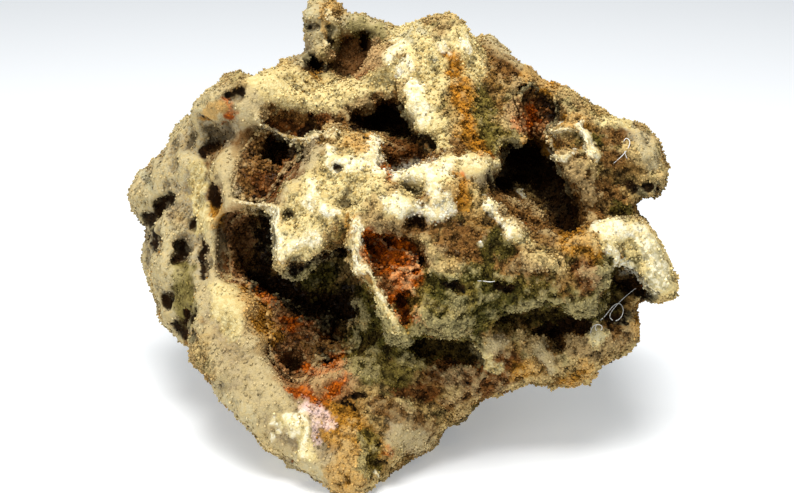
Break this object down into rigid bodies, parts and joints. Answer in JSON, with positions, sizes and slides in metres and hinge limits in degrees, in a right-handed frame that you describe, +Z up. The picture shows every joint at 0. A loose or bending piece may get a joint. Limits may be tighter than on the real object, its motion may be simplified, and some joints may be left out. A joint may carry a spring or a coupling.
{
  "type": "geode",
  "caption": "Palm-sized rugged geode rock with thin-rimmed crystal-lined hollows, a deep hole, overhanging ledges and a flat resting spot underneath.",
  "frame": {"origin": "a point of the flat resting spot under the rock", "axes": "+Z up; the hollowed front faces -Y; +X is to the right for a viewer of the front"},
  "size_m": [0.1079, 0.0816, 0.0781],
  "materials": {
    "rock": "rough, granular",
    "druse_brown": "crystalline",
    "druse_dark": "crystalline",
    "druse_rust": "crystalline",
    "druse_red": "crystalline"
  },
  "bodies": {
    "root": {"rock": "rock", "druse_main_hollow": "druse_brown", "druse_upper_pocket": "druse_dark", "druse_rust_pocket": "druse_rust", "druse_round_pocket": "druse_red"}
  },
  "joints": []
}
